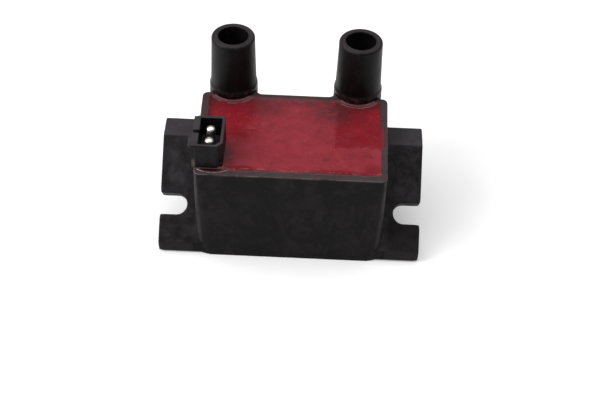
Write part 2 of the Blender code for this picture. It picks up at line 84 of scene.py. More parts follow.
# The ejector mark, by its place across and up the right wing's face.
MARK_ACROSS, MARK_UP_SLOPE = 44.7 * MM, 27.1 * MM
MARK_RADIUS = 0.75 * MM
MARK_HEIGHT = 0.13 * MM
MARK_WIDTH = 0.28 * MM
MARK_REACH = 0.4 * MM

# Towers and pins.
COLLAR_RADIUS = 9.65 * MM
COLLAR_HEIGHT = 3.0 * MM
COLLAR_SLOPE = 1.2 * MM
TOWER_BASE_RADIUS = 9.15 * MM
TOWER_RIM_RADIUS = 8.6 * MM
TOWER_LIP = 1.05 * MM
BORE_LIP = 0.5 * MM
BORE_RADIUS = 5.9 * MM
BORE_FLOOR = 47.5 * MM
BORE_FLOOR_RADIUS = BORE_RADIUS - 0.15 * MM
STEM_HOLE = 1.8 * MM
SPIGOT_RADIUS = 7.0 * MM
PIN_TAIL_RADIUS = 0.8 * MM
PIN_SHOULDER = 45.7 * MM
PIN_DOME = 0.75
PIN_AXIS_HOLE = 0.02 * MM

# The connector.
LEDGE_CORNER = 1.7 * MM
SOCKET_STEP = 0.14 * MM
SOCKET_STEP_TOP = SOCKET_HIGH.z - 1.15 * MM
SOCKET_STEP_FOOT = SOCKET_HIGH.z - 1.35 * MM
SOCKET_SKIN = 0.4 * MM

# The resin's surface: how far it rises at each thing it touches, and how far out that rise dies away.
RESIN_LEVEL = RESIN_HIGH.z + 0.05 * MM
RESIN_EDGE = RIM_Z + 0.22 * MM
WALL_FADE = 1.1 * MM
COLLAR_RISE, COLLAR_FADE = 0.5 * MM, 0.45 * MM
SOCKET_RISE, SOCKET_FADE = 1.1 * MM, 0.55 * MM
BELOW_RIM = 0.5 * MM

# The patch on the right rim, and the film in front of the connector.
PATCH_FRONT = CASE_LOW.y + 18.3 * MM
PATCH_BACK = CASE_LOW.y + 30.8 * MM
PATCH_REACH = 1.55 * MM
FILM_ARC = 11.1 * MM
FILM_CENTRE = Vector((-29.6 * MM, SOCKET_FRONT - 2.1 * MM + FILM_ARC, 0))
FILM_HEIGHT = 0.45 * MM
FILM_ROOT = 0.3 * MM
FILM_ROUNDING = 1.6 * MM

# The sheet that carries the resin's surface: its grid, its depth, and how far it reaches over the rim.
SHEET_STEP = 0.34 * MM
SHEET_DEPTH = 2.0 * MM
SHEET_REACH = 1.75 * MM
SHEET_FRONT_REACH = 2.55 * MM
SHEET_INSET = 0.4 * MM

# ---------------------------------------------------------------- camera and lights
CAMERA_PLACE = Vector((8.16, -374.04, 357.78)) * MM
CAMERA_DOWN = math.radians(43.6)
CAMERA_TURN = math.radians(-0.70)
CAMERA_ROLL = math.radians(2.02)
CAMERA_LENS = 74.6
CAMERA_SENSOR = 36
CAMERA_NEAREST = 0.01
WORLD_STRENGTH = 0.25
FLOOR_HALF = 3.0
FLOOR_GLOW = 0.22

# ---------------------------------------------------------------- colours
WHITE = (1.0, 1.0, 1.0, 1.0)
PAPER = (0.86, 0.86, 0.86, 1)

# The black plastic, as shares of its grey for its painted light by facing, and the colours laid on it: dust
# and wear, and painted sheen, shadow and light.
PLAIN_TINT = (1.0, 0.80, 0.90)
SLANT_TINT = (1.0, 0.90, 0.98)
LEVEL_TINT = (1.0, 0.86, 0.96)
UPRIGHT_TINT = (3.4, 2.8, 3.1)
DUST = (0.085, 0.080, 0.078)
# Painted highlight along the case's upright corners.
CORNER_SHEEN = (0.038, 0.034, 0.036)
RIM_DIRT = (0.060, 0.040, 0.039)
RUBBED_EDGE = (0.120, 0.100, 0.098)
RESIN_SMEAR = (0.085, 0.022, 0.025)
CLAMP_RUB = (0.040, 0.037, 0.038)
# Painted shadow low on the right wing's face.
WING_FOOT_SHADOW = (0.0050, 0.0042, 0.0046)
# Painted light on the wings' upright lips.
LIP_LIGHT = (0.034, 0.030, 0.032)
CREPT_RESIN = (0.024, 0.008, 0.009)
DRIED_RESIN = (0.105, 0.052, 0.052)
DRIED_DRIP = (0.120, 0.098, 0.080)

# The red resin.
DEEP_RED = (0.182, 0.0085, 0.0150)
HAZED_RED = (0.236, 0.0165, 0.0270)
SHADED_RED = (0.120, 0.010, 0.0155)
GLOWING_RED = (0.272, 0.021, 0.035)
FLUSHED_RED = (0.250, 0.0105, 0.0190)
WISP_PINK = (0.300, 0.078, 0.092)
SCRATCH_PINK = (0.320, 0.110, 0.115)
BROWN = (0.058, 0.014, 0.016)
COLLAR_BROWN = (0.085, 0.026, 0.029)
# Painted highlight: the pale arcs round the tower collars.
ARC_HIGHLIGHT = (0.290, 0.150, 0.150)
# Painted shadow beside the connector.
SOCKET_SHADOW = (0.052, 0.026, 0.030)
RIM_BROWN = (0.050, 0.021, 0.022)
CREST_PINK = (0.370, 0.150, 0.155)
PATCH_RED = (0.165, 0.0115, 0.018)
# The film: maroon for thin resin over black, with painted reflection of the connector's front; its lip is a
# painted highlight.
FILM_MAROON = (0.020, 0.0030, 0.0045)
FILM_LIP_HIGHLIGHT = (0.330, 0.210, 0.205)
FLECK_PINK = (0.40, 0.26, 0.27)


def link(obj):
    bpy.context.scene.collection.objects.link(obj)
    return obj


def new_object(name, mesh):
    return link(bpy.data.objects.new(name, mesh))


def build_camera():
    """A camera turned about +Z, tipped down, then rolled about its own line of sight."""
    ahead = Vector(
        (
            math.sin(CAMERA_TURN) * math.cos(CAMERA_DOWN),
            math.cos(CAMERA_TURN) * math.cos(CAMERA_DOWN),
            -math.sin(CAMERA_DOWN),
        )
    )
    right = Vector((math.cos(CAMERA_TURN), -math.sin(CAMERA_TURN), 0))
    up = right.cross(ahead)
    rolled_right = right * math.cos(CAMERA_ROLL) + up * math.sin(CAMERA_ROLL)
    rolled_up = up * math.cos(CAMERA_ROLL) - right * math.sin(CAMERA_ROLL)
    data = bpy.data.cameras.new("camera")
    data.lens = CAMERA_LENS
    data.sensor_width = CAMERA_SENSOR
    data.clip_start = CAMERA_NEAREST
    camera = link(bpy.data.objects.new("camera", data))
    turn = Matrix((rolled_right, rolled_up, -ahead)).transposed()
    camera.matrix_world = Matrix.Translation(CAMERA_PLACE) @ turn.to_4x4()
    bpy.context.scene.camera = camera


def area_light(name, place, target, size, power):
    data = bpy.data.lights.new(name, "AREA")
    data.shape = "RECTANGLE"
    data.size, data.size_y = size
    data.energy = power
    lamp = link(bpy.data.objects.new(name, data))
    aim = (Vector(target) - Vector(place)).to_track_quat("-Z", "Y")
    lamp.matrix_world = Matrix.Translation(place) @ aim.to_matrix().to_4x4()


def build_lights():
    """Soft light: a dim white world, a wide sheet above, panels left and right, and a key from the left."""
    world = bpy.data.worlds.new("studio")
    world.use_nodes = True
    background = world.node_tree.nodes["Background"]
    background.inputs["Color"].default_value = WHITE
    background.inputs["Strength"].default_value = WORLD_STRENGTH
    bpy.context.scene.world = world
    bpy.context.scene.view_settings.view_transform = "Standard"
    area_light("sheet_above", place=(0, 0.10, 1.1), target=(0, 0.02, 0), size=(1.6, 1.2), power=9)
    area_light("panel_left", place=(-0.75, 0.1, 0.45), target=(0, 0, 0.03), size=(0.5, 0.9), power=1.8)
    area_light("panel_right", place=(0.8, 0.15, 0.4), target=(0, 0, 0.03), size=(0.4, 0.8), power=1.05)
    area_light("key_left", place=(-0.8, -0.3, 0.75), target=(0, 0, 0.02), size=(0.5, 0.5), power=6.5)


def build_floor():
    """A wide pale floor."""
    form = bmesh.new()
    bmesh.ops.create_grid(form, x_segments=2, y_segments=2, size=FLOOR_HALF)
    mesh = bpy.data.meshes.new("floor")
    form.to_mesh(mesh)
    form.free()
    floor = new_object("floor", mesh)
    paper = Surface("floor_paper")
    paper.set("Base Color", PAPER).set("Roughness", 0.75)
    paper.set("Emission Color", WHITE).set("Emission Strength", FLOOR_GLOW)
    grain = paper.noise(40, 3)
    paper.bump(grain, 0.02, 0.2 * MM)
    mesh.materials.append(paper.material)


# ---------------------------------------------------------------- material tools
class Surface:
    """A node material with short calls for the patterns that the coil's finishes share."""

    def __init__(self, name):
        self.material = bpy.data.materials.new(name)
        self.material.use_nodes = True
        self.tree = self.material.node_tree
        self.shader = self.tree.nodes["Principled BSDF"]
        self.place = self.tree.nodes.new("ShaderNodeTexCoord").outputs["Object"]

    def set(self, socket, value):
        self.shader.inputs[socket].default_value = value
        return self

    def join(self, source, target):
        self.tree.links.new(source, target)

    def feed(self, source, socket):
        self.join(source, self.shader.inputs[socket])

    def stretched(self, scale):
        """Object coordinates multiplied along each axis."""
        mapping = self.tree.nodes.new("ShaderNodeMapping")
        mapping.inputs["Scale"].default_value = scale
        self.join(self.place, mapping.inputs["Vector"])
        return mapping.outputs["Vector"]

    def noise(self, scale, detail=4, roughness=0.55, stretch=(1, 1, 1), distortion=0.0):
        """Noise whose scale counts features in each metre."""
        node = self.tree.nodes.new("ShaderNodeTexNoise")
        node.inputs["Scale"].default_value = scale
        node.inputs["Detail"].default_value = detail
        node.inputs["Roughness"].default_value = roughness
        node.inputs["Distortion"].default_value = distortion
        self.join(self.stretched(stretch), node.inputs["Vector"])
        return node.outputs["Fac"]

    def ramp(self, source, low, high, start=0.0, end=1.0):
        """source taken smoothly from low..high to start..end."""
        node = self.tree.nodes.new("ShaderNodeMapRange")
        node.interpolation_type = "SMOOTHSTEP"
        node.inputs["From Min"].default_value = low
        node.inputs["From Max"].default_value = high
        node.inputs["To Min"].default_value = start
        node.inputs["To Max"].default_value = end
        self.join(source, node.inputs["Value"])
        return node.outputs["Result"]

    def maths(self, operation, first, second=0.0):
        node = self.tree.nodes.new("ShaderNodeMath")
        node.operation = operation
        for socket, value in zip(node.inputs, (first, second)):
            if isinstance(value, (int, float)):
                socket.default_value = value
            else:
                self.join(value, socket)
        return node.outputs["Value"]

    def product(self, first, *others):
        """Patterns or numbers multiplied together."""
        for other in others:
            first = self.maths("MULTIPLY", first, other)
        return first

    def greatest(self, first, *others):
        """The largest of several patterns at each place."""
        for other in others:
            first = self.maths("MAXIMUM", first, other)
        return first

    def inverted(self, pattern):
        """0 where the pattern is 1, and 1 where it is 0."""
        return self.maths("SUBTRACT", 1.0, pattern)

    def waver(self, pattern, reach):
        """A noise pattern as a distance to either side, half of reach at most."""
        return self.product(self.maths("SUBTRACT", pattern, 0.5), reach)

    def size_of(self, source):
        """source without its sign."""
        return self.maths("ABSOLUTE", source)

    def near(self, source, middle, width):
        """1 where source is at middle, falling to 0 at width from it."""
        return self.ramp(self.size_of(self.maths("SUBTRACT", source, middle)), 0, width, 1, 0)

    def axis(self, index):
        """One object coordinate in metres."""
        node = self.tree.nodes.new("ShaderNodeSeparateXYZ")
        self.join(self.place, node.inputs["Vector"])
        return node.outputs[index]

    def facing(self, index):
        """One component of the surface normal."""
        node = self.tree.nodes.new("ShaderNodeSeparateXYZ")
        geometry = self.tree.nodes.new("ShaderNodeNewGeometry")
        self.join(geometry.outputs["Normal"], node.inputs["Vector"])
        return node.outputs[index]

    def distance(self, centre, stretch):
        """The distance from a point; stretch above 1 makes that axis count for more, and 0 for nothing."""
        node = self.tree.nodes.new("ShaderNodeVectorMath")
        node.operation = "DISTANCE"
        self.join(self.stretched(stretch), node.inputs[0])
        node.inputs[1].default_value = [c * s for c, s in zip(centre, stretch)]
        return node.outputs["Value"]

    def spot(self, centre, reach, softness, stretch=(1, 1, 1)):
        """1 near a point and 0 beyond reach, over a soft edge; stretch above 1 narrows that axis."""
        return self.ramp(self.distance(centre, stretch), reach - softness, reach + softness, 1.0, 0.0)

    def ring(self, centre, radius, width):
        """1 on an upright cylinder's outline about centre, falling to 0 at width from it."""
        return self.near(self.distance(centre, (1, 1, 0)), radius, width)

    def mix(self, factor, first, second):
        """A colour between two colours."""
        node = self.tree.nodes.new("ShaderNodeMix")
        node.data_type = "RGBA"
        for socket, value in zip((node.inputs[0], node.inputs[6], node.inputs[7]), (factor, first, second)):
            if isinstance(value, (int, float)):
                socket.default_value = value
            elif isinstance(value, tuple):
                socket.default_value = (*value, 1.0)
            else:
                self.join(value, socket)
        return node.outputs[2]

    def layers(self, colour, stains_and_light):
        """The colour with each layer laid over the ones before; layers are real dirt and wear, and painted
        light and shade alike, each (surface, colour) -> colour.
        """
        for overlay in stains_and_light:
            colour = overlay(self, colour)
        return colour

    def bump(self, height, strength, distance, over=None):
        """Adds a bump, over an earlier one where that is given."""
        node = self.tree.nodes.new("ShaderNodeBump")
        node.inputs["Strength"].default_value = strength
        node.inputs["Distance"].default_value = distance
        self.join(height, node.inputs["Height"])
        if over is not None:
            self.join(over, node.inputs["Normal"])
        self.feed(node.outputs["Normal"], "Normal")
        return node.outputs["Normal"]


# ---------------------------------------------------------------- black plastic
def tinted(grey, tint):
    return tuple(grey * share for share in tint)


def black_plastic(name, base, level, slant, roughness, gloss, stains_and_light):
    """Fine moulded black, mottled by handling, with painted light by facing: paler where it faces up, leans
    or stands upright, with some dust on the up-facing faces.

    base is the plastic's own grey, painted paler on upright faces; level and slant are painted lit greys for
    faces that look straight up and for those that lean. roughness is about the middle of its range, gloss is
    the specular level, and the last argument's layers, real marks and painted light alike, are laid over the
    black in turn.
    """
    s = Surface(name)
    s.set("Specular IOR Level", gloss)
    cloud = s.noise(100, 7, 0.70, distortion=0.3)
    blotch = s.noise(26, 3, 0.5)
    fine = s.noise(1100, 3, 0.6)
    scuffs = s.noise(260, 5, 0.68, stretch=(1.0, 0.8, 0.6), distortion=0.6)
    up = s.facing(2)
    mottle = s.maths("ADD", s.ramp(cloud, 0.32, 0.68, 0.38, 1.0), s.ramp(scuffs, 0.40, 0.72, -0.20, 0.40))
    mottle = s.product(mottle, s.ramp(blotch, 0.3, 0.7, 0.70, 1.20))
    # Painted light by facing: leaning faces lighter, up-facing faces lighter still, upright faces a little
    # paler than the plain grey.
    leaning = s.product(s.ramp(up, 0.15, 0.70), mottle)
    colour = s.mix(leaning, tinted(base, PLAIN_TINT), tinted(slant, SLANT_TINT))
    flat = s.product(s.ramp(up, 0.80, 0.97), s.ramp(mottle, 0.2, 1.2, 0.68, 1.0))
    colour = s.mix(flat, colour, tinted(level, LEVEL_TINT))
    upright = s.product(s.ramp(up, 0.5, 0.1), s.ramp(mottle, 0.25, 1.20))
    colour = s.mix(upright, colour, tinted(base, UPRIGHT_TINT))
    specks = s.ramp(s.noise(1300, 2, 0.5), 0.72, 0.78, 0.0, 0.30)
    colour = s.mix(specks, colour, DUST)
    s.feed(s.layers(colour, stains_and_light), "Base Color")
    s.feed(s.ramp(cloud, 0.3, 0.8, roughness - 0.08, roughness + 0.12), "Roughness")
    first = s.bump(fine, 0.12, 0.05 * MM)
    s.bump(scuffs, 0.06, 0.10 * MM, first)
    return s


def painted_corner_sheen(s, colour):
    """Painted highlight: a pale grey sheen along the case's upright outer corners, broken by noise, where
    their rounding catches the light.
    """
    turn = s.size_of(s.facing(0))
    corner = s.product(s.ramp(turn, 0.38, 0.68), s.ramp(turn, 0.98, 0.84))
    upright = s.ramp(s.size_of(s.facing(2)), 0.45, 0.20)
    broken = s.ramp(s.noise(160, 5, 0.6), 0.34, 0.62, 0.25, 0.9)
    return s.mix(s.product(corner, upright, broken), colour, CORNER_SHEEN)


def rim_stain(s, colour):
    """Brown dirt and a little resin on the top of the case's rim, rubbed pale along its edges."""
    high = s.ramp(s.axis(2), RIM_Z - 1.0 * MM, RIM_Z - 0.25 * MM)
    patches = s.ramp(s.noise(230, 5, 0.65, distortion=0.6), 0.36, 0.66, 0.10, 0.85)
    colour = s.mix(s.product(high, patches), colour, RIM_DIRT)
    top = s.ramp(s.axis(2), RIM_Z - 0.45 * MM, RIM_Z - 0.12 * MM)
    turning_down = s.ramp(s.facing(2), 0.97, 0.80)
    broken = s.ramp(s.noise(150, 4, 0.6), 0.38, 0.60, 0.15, 1.0)
    colour = s.mix(s.product(top, turning_down, broken), colour, RUBBED_EDGE)
    smears = s.ramp(s.noise(330, 3, 0.55), 0.56, 0.70, 0.0, 0.45)
    return s.mix(s.product(top, smears), colour, RESIN_SMEAR)


def clamp_print(s, colour):
    """The paler panel that a clamp plate has rubbed on the right wing, above its slot, faint at its edges."""
    bottom, top, end_fade = 20.5 * MM, 33.0 * MM, 2.0 * MM
    inner, outer, side_fade = 41.5 * MM, 49.6 * MM, 0.8 * MM
    height, side = s.axis(2), s.axis(0)
    along = s.product(s.ramp(height, bottom, bottom + end_fade), s.ramp(height, top, top - end_fade))
    across = s.product(s.ramp(side, inner, inner + side_fade), s.ramp(side, outer, outer - side_fade))
    broken = s.ramp(s.noise(380, 4, 0.6), 0.4, 0.7, 0.1, 0.5)
    return s.mix(s.product(along, across, broken), colour, CLAMP_RUB)


def painted_wing_foot_shadow(s, colour):
    """Painted shadow: the lowest part of the right wing's slanted face, darker than the rest, where the case
    shades it from the light on the left.
    """
    outwards = s.ramp(s.axis(0), 38.0 * MM, 40.0 * MM)
    low = s.ramp(s.axis(2), 17.0 * MM, 13.0 * MM)
    slanted = s.ramp(s.facing(2), 0.40, 0.65, 0.0, 0.60)
    return s.mix(s.product(outwards, low, slanted), colour, WING_FOOT_SHADOW)


def painted_lip_light(s, colour):
    """Painted light: the upright lips at the feet of both wings, a little paler, for the light thrown up on
    them by the pale floor.
    """
    low = s.ramp(s.axis(2), 6.2 * MM, 5.0 * MM)
    outwards = s.ramp(s.size_of(s.axis(0)), 37.6 * MM, 38.2 * MM)
    strength = 0.30
    return s.mix(s.product(low, outwards, strength), colour, LIP_LIGHT)


def crept_resin(s, colour):
    """Brown-red resin that has crept up the foot of a tower, dried pale in patches."""
    creep = s.noise(190, 5, 0.65, distortion=0.8)
    wetted = s.ramp(s.axis(2), RIM_Z + 4.2 * MM, RIM_Z + 0.8 * MM)
    colour = s.mix(s.product(wetted, s.ramp(creep, 0.36, 0.60, 0.25, 0.95)), colour, CREPT_RESIN)
    dried = s.ramp(s.axis(2), RIM_Z + 3.4 * MM, RIM_Z + 1.8 * MM)
    return s.mix(s.product(dried, s.ramp(creep, 0.50, 0.64, 0.0, 0.50)), colour, DRIED_RESIN)


def dried_drip(s, colour):
    """A pale dried drip low on the connector's front left corner."""
    place = (SOCKET_LOW.x + 1.9 * MM, SOCKET_FRONT + 0.3 * MM, 45.4 * MM)
    drip = s.spot(place, 0.75 * MM, 0.45 * MM, stretch=(1.3, 1.0, 0.36))
    broken = s.ramp(s.noise(500, 3, 0.6), 0.3, 0.6, 0.2, 0.7)
    return s.mix(s.product(drip, broken), colour, DRIED_DRIP)


# ---------------------------------------------------------------- metals and inner plastics
def plain_metal(name, colour, stained, roughness, turning):
    """Bare metal with soft stains and round machining lines; turning is how deep the lines look."""
    s = Surface(name)
    s.set("Metallic", 1.0)
    cloud = s.noise(420, 4, 0.6)
    s.feed(s.mix(s.ramp(cloud, 0.35, 0.8), colour, stained), "Base Color")
    s.feed(s.ramp(cloud, 0.3, 0.8, roughness - 0.05, roughness + 0.15), "Roughness")
    lines = s.noise(3000, 2, 0.5, stretch=(0.05, 0.05, 1.0))
    s.bump(lines, turning, 0.03 * MM)
    return s


def layered(name, sheet, joint, axis, pitch, roughness):
    """Stacked metal sheets or wound turns: dark joints at an even pitch along one axis, X, Y or Z."""
    s = Surface(name)
    s.set("Metallic", 1.0)
    wave = s.tree.nodes.new("ShaderNodeTexWave")
    wave.wave_type = "BANDS"
    wave.bands_direction = axis
    wave.inputs["Scale"].default_value = math.pi / (10 * pitch)
    wave.inputs["Distortion"].default_value = 0.4
    wave.inputs["Detail"].default_value = 1.0
    s.join(s.place, wave.inputs["Vector"])
    tone = s.noise(150, 3)
    s.feed(s.mix(s.ramp(wave.outputs["Fac"], 0.0, 0.35), joint, sheet), "Base Color")
    s.feed(s.ramp(tone, 0.3, 0.7, roughness, roughness + 0.15), "Roughness")
    s.bump(wave.outputs["Fac"], 0.4, pitch / 3)
    return s


def cast_plastic(name, colour, roughness):
    """Moulded or sheathed plastic with slow changes of tone and a fine skin."""
    s = Surface(name)
    cloud = s.noise(130, 4, 0.55)
    darkest = 0.82
    s.feed(s.mix(s.ramp(cloud, 0.3, 0.75), colour, tuple(c * darkest for c in colour)), "Base Color")
    s.feed(s.ramp(cloud, 0.3, 0.7, roughness, roughness + 0.12), "Roughness")
    s.bump(s.noise(1200, 2), 0.08, 0.05 * MM)
    return s


# ---------------------------------------------------------------- red resin
class Resin(Surface):
    """The resin's material, with the patterns and places that several of its layers share."""

    def __init__(self, name):
        super().__init__(name)
        self.cloud = self.noise(230, 6, 0.66)
        self.wander = self.noise(105, 6, 0.66, distortion=0.8)
        self.fray = self.noise(420, 4, 0.6)
        self.smudge = self.noise(170, 6, 0.72, distortion=1.0)
        sway = self.maths("ADD", self.waver(self.wander, 11 * MM), self.waver(self.fray, 2.5 * MM))
        self.x = self.maths("ADD", self.axis(0), sway)
        self.y = self.maths("ADD", self.axis(1), sway)
        self.past_front = self.maths("ADD", self.axis(1), self.waver(self.noise(110, 3, 0.5), 3.4 * MM))
        self.in_front = self.ramp(self.axis(1), CAVITY_LOW.y + 0.4 * MM, CAVITY_LOW.y - 0.1 * MM)
        under_arc = self.spot(FILM_CENTRE, FILM_ARC + 0.1 * MM, 0.15 * MM, stretch=(1, 1, 0))
        self.film = self.product(self.in_front, under_arc)
        self.haze = self.product(self.inverted(self.clear()), self.ramp(self.cloud, 0.32, 0.58, 0.70, 1.0))

    def pool(self, x, y, reach, softness, stretch=(1.0, 1.0)):
        """A spot on the resin's surface, in which height counts for little."""
        return self.spot((x, y, RIM_Z), reach, softness, (*stretch, 0.2))

    def clear(self):
        """Where the resin has no haze: two wide regions, two strips along the front and its right corner."""
        return self.greatest(
            self.product(
                self.ramp(self.x, 14.8 * MM, 17.4 * MM),
                self.ramp(self.y, -13.9 * MM, -12.2 * MM),
            ),
            self.product(
                self.ramp(self.x, -9 * MM, -20 * MM),
                self.ramp(self.y, -15 * MM, -8 * MM),
            ),
            self.pool(-18 * MM, -27.4 * MM, 5.0 * MM, 1.8 * MM, stretch=(0.9, 3.0)),
            self.pool(18 * MM, -28.2 * MM, 6.5 * MM, 2.0 * MM, stretch=(0.6, 3.4)),
            self.pool(31.2 * MM, -25.6 * MM, 3.2 * MM, 1.8 * MM),
        )


def cast_tones(s, colour):
    """Darker and brighter clouds in the body of the resin, and a redder place near each side wall."""
    shade = s.ramp(s.noise(140, 6, 0.7, distortion=1.0), 0.47, 0.68, 0.0, 0.50)
    colour = s.mix(shade, colour, SHADED_RED)
    glow = s.product(s.ramp(s.noise(85, 4, 0.6), 0.48, 0.64, 0.0, 0.55), s.haze)
    colour = s.mix(glow, colour, GLOWING_RED)
    flush = s.greatest(
        s.pool(29 * MM, 4 * MM, 6.5 * MM, 5.0 * MM, stretch=(1.0, 0.7)),
        s.pool(-26 * MM, -3 * MM, 6.0 * MM, 5.0 * MM, stretch=(0.8, 0.8)),
    )
    return s.mix(s.product(flush, s.ramp(s.wander, 0.35, 0.60, 0.1, 0.75)), colour, FLUSHED_RED)


def wisps_and_scratches(s, colour):
    """Pale wisps and thin scratches, drawn out from side to side."""
    wisps = s.noise(330, 6, 0.72, stretch=(0.45, 1.0, 1.0), distortion=1.6)
    colour = s.mix(s.ramp(wisps, 0.58, 0.72, 0.0, 0.42), colour, WISP_PINK)
    scratches = s.noise(260, 4, 0.6, stretch=(0.16, 1.0, 1.0), distortion=2.2)
    return s.mix(s.ramp(scratches, 0.66, 0.71, 0.0, 0.22), colour, SCRATCH_PINK)


def browned(s, colour):
    """Brown round the towers and along the back wall, smudged between and beside them, and once in front."""
    reaches = {"left": 3.0 * MM, "right": 4.2 * MM}
    near_towers = [
        s.pool(centre.x, centre.y, COLLAR_RADIUS + reaches[side], reaches[side])
        for side, centre in TOWER_CENTRES.items()
    ]
    smudges = [
        s.pool(-10.0 * MM, 9.4 * MM, 4.2 * MM, 5.2 * MM, stretch=(0.7, 1.0)),
        s.pool(17.0 * MM, 7.6 * MM, 6.0 * MM, 6.0 * MM, stretch=(0.7, 1.0)),
        s.pool(13.4 * MM, -20.9 * MM, 0.8 * MM, 1.8 * MM),
    ]
    back = s.ramp(s.y, 8.5 * MM, 14.5 * MM, 0.0, 0.75)
    dark = s.product(s.greatest(*near_towers, *smudges, back), s.ramp(s.smudge, 0.30, 0.60, 0.22, 0.92))
    return s.mix(dark, colour, BROWN)


def collar_brown_and_highlight(s, colour):
    """Dull brown against each tower's collar, and a broken pale arc a little way out from it, which is a
    painted highlight where the resin's rise catches the light.
    """
    centres = TOWER_CENTRES.values()
    touching = s.greatest(*[s.pool(c.x, c.y, COLLAR_RADIUS + 1.0 * MM, 0.8 * MM) for c in centres])
    strength = 0.70
    colour = s.mix(s.product(touching, strength), colour, COLLAR_BROWN)
    arcs = s.greatest(*[s.ring(c, COLLAR_RADIUS + 1.45 * MM, 0.35 * MM) for c in centres])
    return s.mix(s.product(arcs, s.ramp(s.smudge, 0.42, 0.60, 0.0, 0.70)), colour, ARC_HIGHLIGHT)


def painted_socket_shadow(s, colour):
    """Painted shadow: grey along the connector's right side, where the connector shades the resin from the
    light on the left.
    """
    grey = s.pool(SOCKET_RIGHT + 0.4 * MM, -20.5 * MM, 3.0 * MM, 2.6 * MM, stretch=(1.3, 0.55))
    return s.mix(s.product(grey, s.ramp(s.smudge, 0.30, 0.60, 0.55, 0.95)), colour, SOCKET_SHADOW)


def over_rim(s, colour):
    """Thin brown resin by the walls and over the rim, with a pale crest along the front."""
    sides = s.ramp(s.size_of(s.axis(0)), CAVITY_HIGH.x - 0.9 * MM, CAVITY_HIGH.x + 0.4 * MM, 0.0, 0.75)
    by_left_wall = s.ramp(s.x, CAVITY_LOW.x + 4.2 * MM, CAVITY_LOW.x + 0.8 * MM, 0.0, 0.70)
    back = s.ramp(s.axis(1), CAVITY_HIGH.y - 2.0 * MM, CAVITY_HIGH.y, 0.0, 0.85)
    front_strength = 0.9
    front = s.product(s.ramp(s.past_front, CAVITY_LOW.y + 1.2 * MM, CAVITY_LOW.y + 0.2 * MM), front_strength)
    edge = s.greatest(sides, by_left_wall, back, front)
    colour = s.mix(s.product(edge, s.ramp(s.fray, 0.30, 0.60, 0.55, 1.0)), colour, RIM_BROWN)
    crest = s.near(s.past_front, CAVITY_LOW.y + 1.45 * MM, 0.35 * MM)
    return s.mix(s.product(crest, s.ramp(s.fray, 0.42, 0.58, 0.0, 0.60)), colour, CREST_PINK)


def rim_patch(s, colour):
    """The square-edged red patch that lies over the right rim."""
    fade = 0.2 * MM
    strength = 0.9
    patch = s.product(
        s.ramp(s.axis(0), CAVITY_HIGH.x - 1.2 * MM, CAVITY_HIGH.x - 0.9 * MM),
        strength,
        s.ramp(s.axis(1), PATCH_FRONT - fade, PATCH_FRONT + fade),
        s.ramp(s.axis(1), PATCH_BACK + fade, PATCH_BACK - fade),
    )
    return s.mix(patch, colour, PATCH_RED)


def front_film(s, colour):
    """The dark glossy film on the front rim, in front of the connector: maroon for thin resin over black,
    darkened further as painted reflection of the connector's black front, with a thin pale lip that is a
    painted highlight.
    """
    colour = s.mix(s.film, colour, FILM_MAROON)
    lip = s.product(s.ring(FILM_CENTRE, FILM_ARC - 0.22 * MM, 0.30 * MM), s.in_front)
    return s.mix(s.product(lip, s.ramp(s.fray, 0.34, 0.56, 0.10, 0.75)), colour, FILM_LIP_HIGHLIGHT)


def pale_flecks(s, colour):
    """Small pale flecks everywhere but on the film."""
    flecks = s.ramp(s.noise(1500, 2, 0.5), 0.69, 0.75, 0.0, 0.40)
    return s.mix(s.product(flecks, s.inverted(s.film)), colour, FLECK_PINK)


def red_resin():
    """Cast red epoxy: deep in places, hazed over the middle and front, brown by towers and walls."""
    s = Resin("red_resin")
    s.set("Specular IOR Level", 0.28)
    # Three of these layers are painted light and shade: the shadow beside the connector, the pale arcs round
    # the collars and the film's pale lip.
    colour = s.layers(
        s.mix(s.haze, DEEP_RED, HAZED_RED),
        (
            cast_tones,
            wisps_and_scratches,
            browned,
            collar_brown_and_highlight,
            painted_socket_shadow,
            over_rim,
            rim_patch,
            front_film,
            pale_flecks,
        ),
    )
    s.feed(colour, "Base Color")
    film_shine = 0.45
    rough = s.maths("ADD", s.ramp(s.haze, 0.0, 1.0, 0.26, 0.42), s.ramp(s.cloud, 0.3, 0.8, -0.04, 0.12))
    s.feed(s.product(rough, s.inverted(s.product(s.film, film_shine))), "Roughness")
    first = s.bump(s.wander, 0.14, 0.5 * MM)
    s.bump(s.noise(700, 4, 0.65), 0.10, 0.15 * MM, first)
    return s


# ---------------------------------------------------------------- mesh tools
def evaluated_copy(obj, name):
    """A new mesh of the object as its modifiers leave it, and the object removed."""
    graph = bpy.context.evaluated_depsgraph_get()
    mesh = bpy.data.meshes.new_from_object(obj.evaluated_get(graph))
    mesh.name = name
    bpy.data.objects.remove(obj)
    return mesh


def add_smoothing(obj, name, iterations):
    smooth = obj.modifiers.new(name, "SMOOTH")
    smooth.factor = 0.5
    smooth.iterations = iterations
    return smooth


